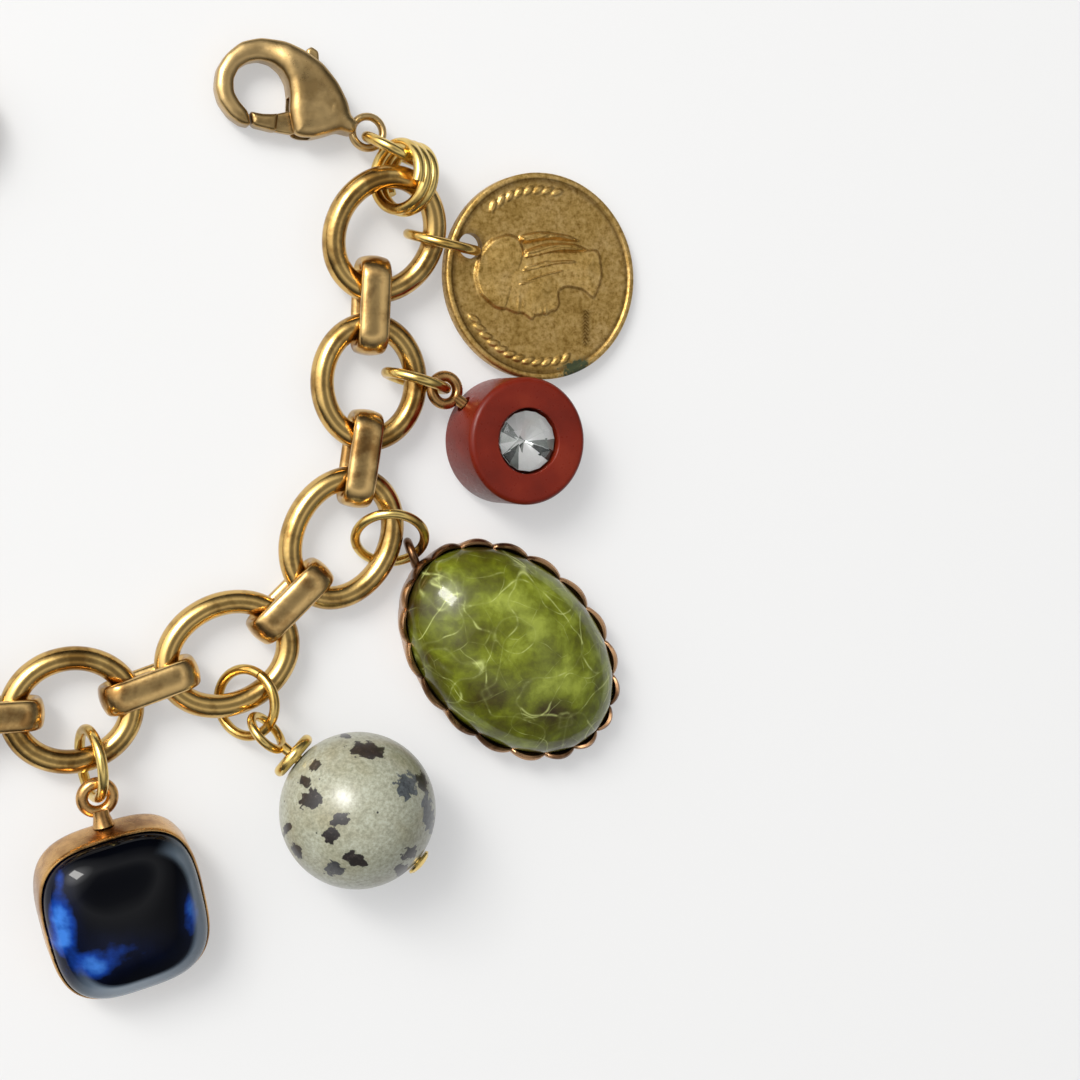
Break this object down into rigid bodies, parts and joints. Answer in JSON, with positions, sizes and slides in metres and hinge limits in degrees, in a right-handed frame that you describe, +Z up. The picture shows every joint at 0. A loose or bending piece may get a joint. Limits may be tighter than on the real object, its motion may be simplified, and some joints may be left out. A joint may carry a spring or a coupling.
{
  "type": "charm bracelet",
  "caption": "Open bracelet of oval brass links and strap connectors with a lobster clasp and a coin, bead and cut stone charms on jump rings.",
  "frame": {"origin": "on the table under the middle of the bounding box", "axes": "+X along the longest side of the lying bracelet, towards the charms; +Y towards the clasp; +Z up from the table"},
  "size_m": [0.0928, 0.0868, 0.0143],
  "materials": {
    "chain_brass": "polished, lightly tarnished",
    "bright_brass": "bright polished",
    "aged_brass": "dark antique",
    "coin_bronze": "worn, satin",
    "red_glass": "satin, scratched",
    "clear_crystal": "faceted, clear",
    "green_glass": "glossy, with cracks and bubbles",
    "spotted_stone": "satin, with dark spots",
    "dark_blue_glass": "glossy, faceted"
  },
  "bodies": {
    "bracelet": {"clasp_body": "chain_brass", "clasp_ring": "bright_brass", "split_ring": "bright_brass", "link_01": "chain_brass", "link_02": "chain_brass", "link_03": "chain_brass", "link_04": "chain_brass", "link_05": "chain_brass", "link_06": "chain_brass", "link_07": "chain_brass", "link_08": "chain_brass", "link_09": "chain_brass", "link_10": "chain_brass", "link_11": "chain_brass", "connector_01": "chain_brass", "connector_02": "chain_brass", "connector_03": "chain_brass", "connector_04": "chain_brass", "connector_05": "chain_brass", "connector_06": "chain_brass", "connector_07": "chain_brass", "connector_08": "chain_brass", "connector_09": "chain_brass", "connector_10": "chain_brass", "coin": "coin_bronze", "coin_ring": "bright_brass", "red_bead": "red_glass", "red_crystal": "clear_crystal", "red_peg": "chain_brass", "red_ring": "bright_brass", "green_stone": "green_glass", "green_setting": "aged_brass", "green_ring": "bright_brass", "jasper_bead": "spotted_stone", "jasper_pin": "bright_brass", "jasper_ring": "bright_brass", "blue_stone": "dark_blue_glass", "blue_setting": "chain_brass", "blue_ring": "bright_brass"},
    "lever": {"clasp_lever": "chain_brass"}
  },
  "joints": [
    {"name": "lever_pivot", "type": "hinge", "parent": "bracelet", "child": "lever", "pos_m": [0.01467, 0.03778, 0.0018], "axis": [0, 0, -1], "range_deg": [0, 22], "stiffness_Nm_per_rad": 0.004, "springref_deg": -20.05}
  ]
}
